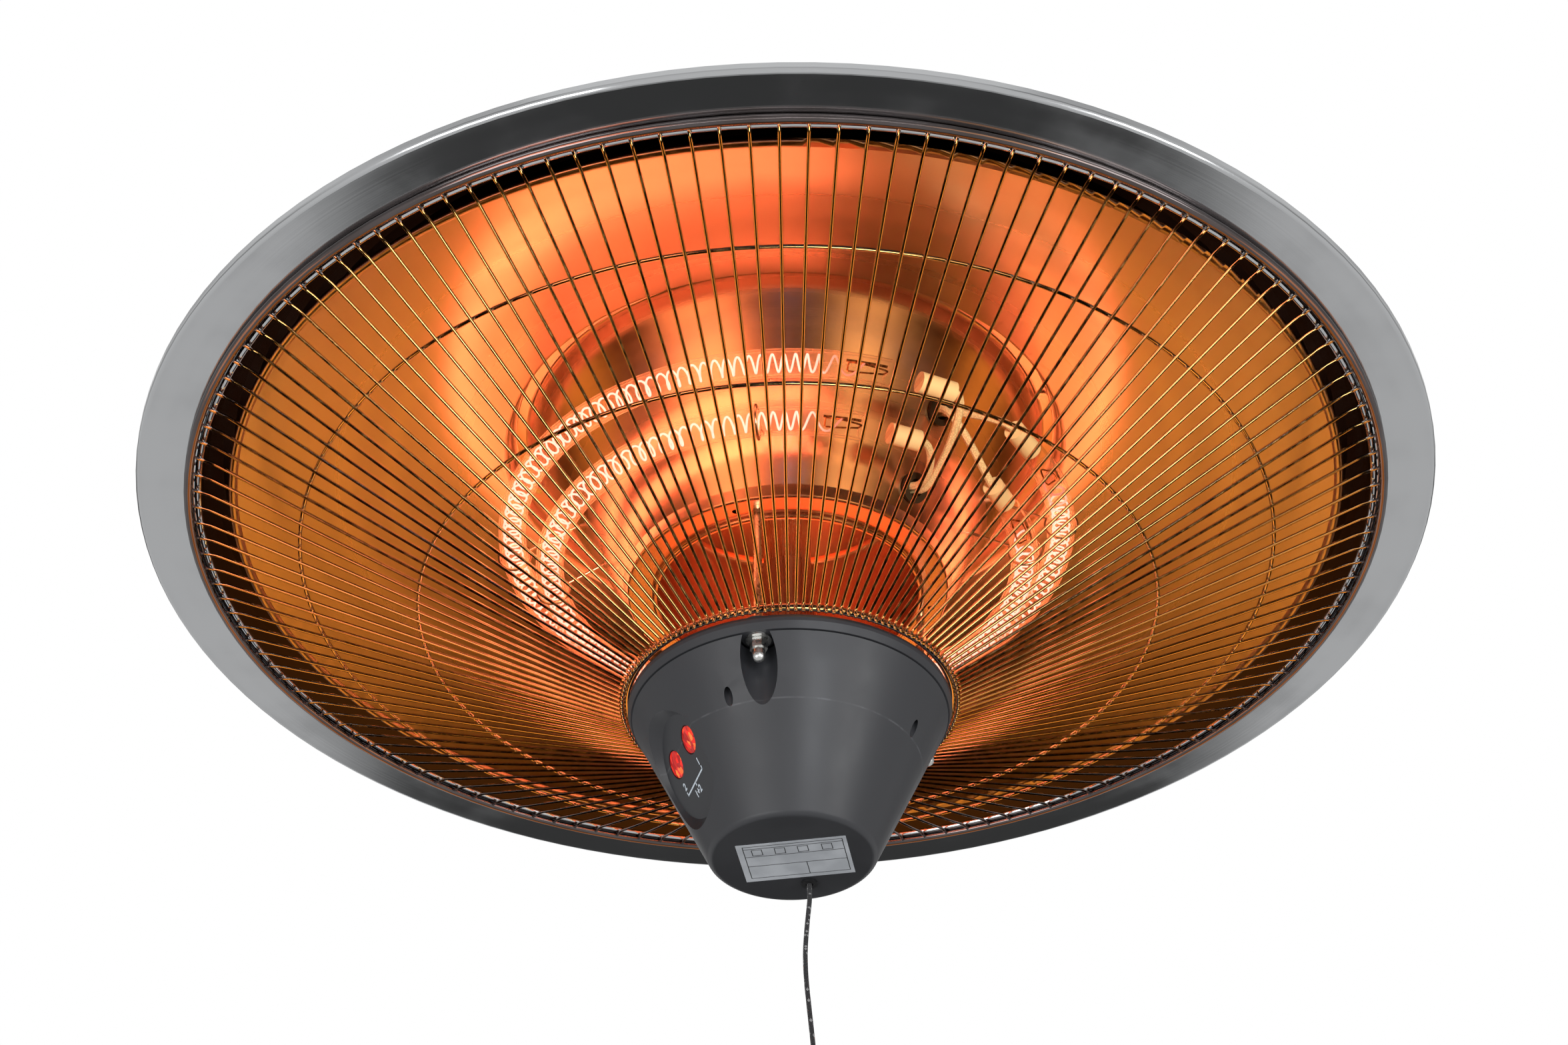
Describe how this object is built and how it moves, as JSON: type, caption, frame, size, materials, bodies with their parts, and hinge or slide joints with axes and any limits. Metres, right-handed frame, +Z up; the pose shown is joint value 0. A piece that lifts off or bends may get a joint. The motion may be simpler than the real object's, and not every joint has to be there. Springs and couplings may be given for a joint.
{
  "type": "hanging patio heater",
  "caption": "Ceiling-hung electric patio heater: domed shade, reflector, ring-shaped quartz tubes, conical wire grille and a pull-cord switch housing.",
  "frame": {"origin": "centre of the hanging eye's hole, on the shade's axis", "axes": "+Z up along the shade's axis, +Y along the hanging eye's hole and towards the mains inlet, -Y towards the front"},
  "size_m": [0.6, 0.6, 0.5659],
  "materials": {
    "shade_steel": "polished stainless steel, spun",
    "cap_paint": "satin dark grey enamel",
    "zinc_steel": "zinc-plated steel",
    "gland_plastic": "moulded nylon",
    "seal_rubber": "soft black rubber",
    "pipe_steel": "drawn tube, satin",
    "reflector_metal": "bright rolled aluminium, faint spinning lines",
    "ceramic": "unglazed steatite",
    "quartz": "clear quartz tube",
    "filament": "glowing wound resistance wire",
    "lead_steel": "plain drawn wire",
    "glass_sleeve": "braided glass fibre sleeve",
    "spring_wire": "bright spring wire",
    "chrome_wire": "chrome-plated wire",
    "housing_plastic": "fine-grained moulding",
    "lens_red": "clear red moulding with facets",
    "lamp_plastic": "white moulding",
    "plate_foil": "matt silver film",
    "brass": "stamped brass",
    "switch_plastic": "moulded switch case",
    "cam_nylon": "natural nylon",
    "cord_braid": "tight black braid",
    "knob_plastic": "smooth moulding"
  },
  "bodies": {
    "heater": {"shade": "shade_steel", "top_cap": "cap_paint", "cap_screws": "zinc_steel", "cap_nuts": "zinc_steel", "hanging_eye": "zinc_steel", "eye_plug": "zinc_steel", "gland_body": "gland_plastic", "gland_nut": "gland_plastic", "gland_seal": "seal_rubber", "supply_lead": "seal_rubber", "central_pipe": "pipe_steel", "pipe_nuts": "zinc_steel", "lower_sleeve": "pipe_steel", "reflector": "reflector_metal", "reflector_hub": "reflector_metal", "spacer_posts": "zinc_steel", "hub_rivets": "zinc_steel", "hub_terminal": "ceramic", "outer_tube": "quartz", "inner_tube": "quartz", "outer_filament": "filament", "inner_filament": "filament", "filament_leads": "lead_steel", "end_caps": "ceramic", "tube_supports": "spring_wire", "grommets": "seal_rubber", "heater_leads": "glass_sleeve", "grille_outer_ring": "chrome_wire", "grille_mid_ring_1": "chrome_wire", "grille_mid_ring_2": "chrome_wire", "grille_inner_ring": "chrome_wire", "grille_wires": "chrome_wire", "tie_rods": "zinc_steel", "rod_nuts": "zinc_steel", "tie_washers": "zinc_steel", "acorn_nuts": "zinc_steel", "housing_collar": "housing_plastic", "housing_cone": "housing_plastic", "housing_screws": "zinc_steel", "pilot_lens_1": "lens_red", "pilot_lens_2": "lens_red", "lamp_bodies": "lamp_plastic", "rating_label": "plate_foil", "cord_eyelet": "gland_plastic", "switch_body": "switch_plastic", "switch_terminals": "brass", "cam_axle": "zinc_steel", "return_spring": "spring_wire"},
    "pull": {"pull_carrier": "cam_nylon", "pull_cord": "cord_braid", "pull_knob": "knob_plastic"},
    "cam": {"switch_cam": "cam_nylon"}
  },
  "joints": [
    {"name": "cord_pull", "type": "slide", "parent": "heater", "child": "pull", "axis": [0, 0, -1], "range_m": [0, 0.01], "stiffness_N_per_m": 900, "springref_m": -0.004, "deforming": ["return_spring"]},
    {"name": "cam_turn", "type": "hinge", "parent": "heater", "child": "cam", "pos_m": [0.007, 0.0205, -0.26791], "axis": [1, 0, 0], "range_deg": [-2, 50]}
  ],
  "couplings": [
    {"joint": "cam_turn", "follows": "cord_pull", "rad_per_m": 78.54}
  ]
}
